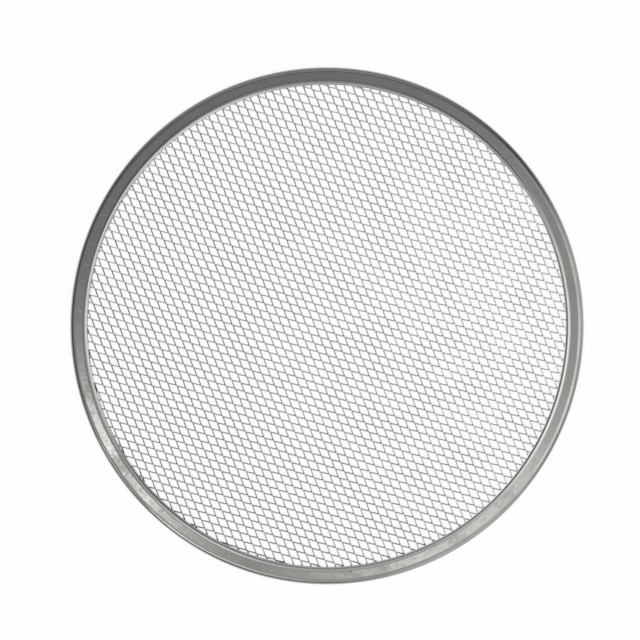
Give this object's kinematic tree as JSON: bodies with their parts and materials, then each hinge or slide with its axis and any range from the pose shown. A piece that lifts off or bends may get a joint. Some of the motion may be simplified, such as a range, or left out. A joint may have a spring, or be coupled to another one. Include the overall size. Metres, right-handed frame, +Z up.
{
  "type": "pizza screen",
  "caption": "Round flat baking screen: a disc of expanded aluminium mesh held in a folded aluminium rim, for baking pizza with air and heat reaching the base.",
  "frame": {"origin": "centre of the underside, on the plane that the rim lies on", "axes": "+Z up through the thickness of the screen; +X is the picture's right and +Y its top"},
  "size_m": [0.3048, 0.3048, 0.0048],
  "materials": {
    "folded_strip": "bare rolled aluminium strip, smooth and faintly mottled, burnished along the folded lips",
    "expanded_sheet": "bare aluminium sheet, slit and pulled into raised diamonds, satin with sheared edges"
  },
  "bodies": {
    "root": {"rim": "folded_strip", "mesh": "expanded_sheet"}
  },
  "joints": []
}
